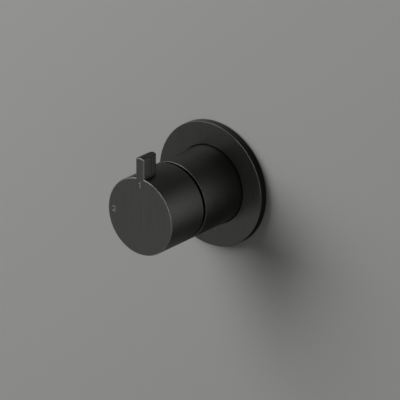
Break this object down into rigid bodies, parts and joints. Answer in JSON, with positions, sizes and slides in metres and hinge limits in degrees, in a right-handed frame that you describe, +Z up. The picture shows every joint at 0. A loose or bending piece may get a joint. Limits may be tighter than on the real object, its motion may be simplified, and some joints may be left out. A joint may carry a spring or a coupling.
{
  "type": "shower diverter valve",
  "caption": "Concealed shower diverter valve: round wall plate, sleeve and turning knob with a tab, on an in-wall brass body with a ceramic disc cartridge.",
  "frame": {"origin": "on the valve's axis at the face of the finished wall, the plane of the back of the soft ring behind the wall plate", "axes": "+Z up, -Y out of the wall along the valve's axis towards the user, +Y into the wall, +X to the right seen from the front"},
  "size_m": [0.076, 0.1243, 0.08],
  "materials": {
    "trim": "brushed stainless steel with a dark gunmetal coating",
    "cast_brass": "hot-forged and shot-blasted brass",
    "turned_brass": "turned brass",
    "screw_steel": "stainless steel",
    "black_acetal": "moulded black acetal",
    "white_acetal": "moulded natural acetal",
    "rubber": "black nitrile rubber",
    "alumina": "lapped alumina ceramic"
  },
  "bodies": {
    "valve": {"glide_ring": "black_acetal", "sleeve": "trim", "sleeve_o_ring": "rubber", "wall_plate": "trim", "plate_o_ring": "rubber", "plate_gasket": "rubber", "valve_body": "cast_brass", "cartridge_nut": "turned_brass", "cartridge_housing": "turned_brass", "cartridge_o_ring": "rubber", "glide_washer": "white_acetal", "fixed_disc": "alumina", "disc_gasket": "rubber", "cartridge_base": "white_acetal", "base_gasket": "rubber"},
    "turning": {"handle": "trim", "handle_grub_screw": "screw_steel", "spline_insert": "black_acetal", "spindle_extension": "turned_brass", "extension_screw": "screw_steel", "spindle": "turned_brass", "spindle_o_ring_front": "rubber", "spindle_o_ring_rear": "rubber", "stop_ring": "turned_brass", "spindle_clip": "screw_steel", "disc_carrier": "black_acetal", "moving_disc": "alumina"}
  },
  "joints": [
    {"name": "knob_turn", "type": "hinge", "parent": "valve", "child": "turning", "pos_m": [0, 0, 0], "axis": [0, -1, 0], "range_deg": [0, 90]}
  ]
}
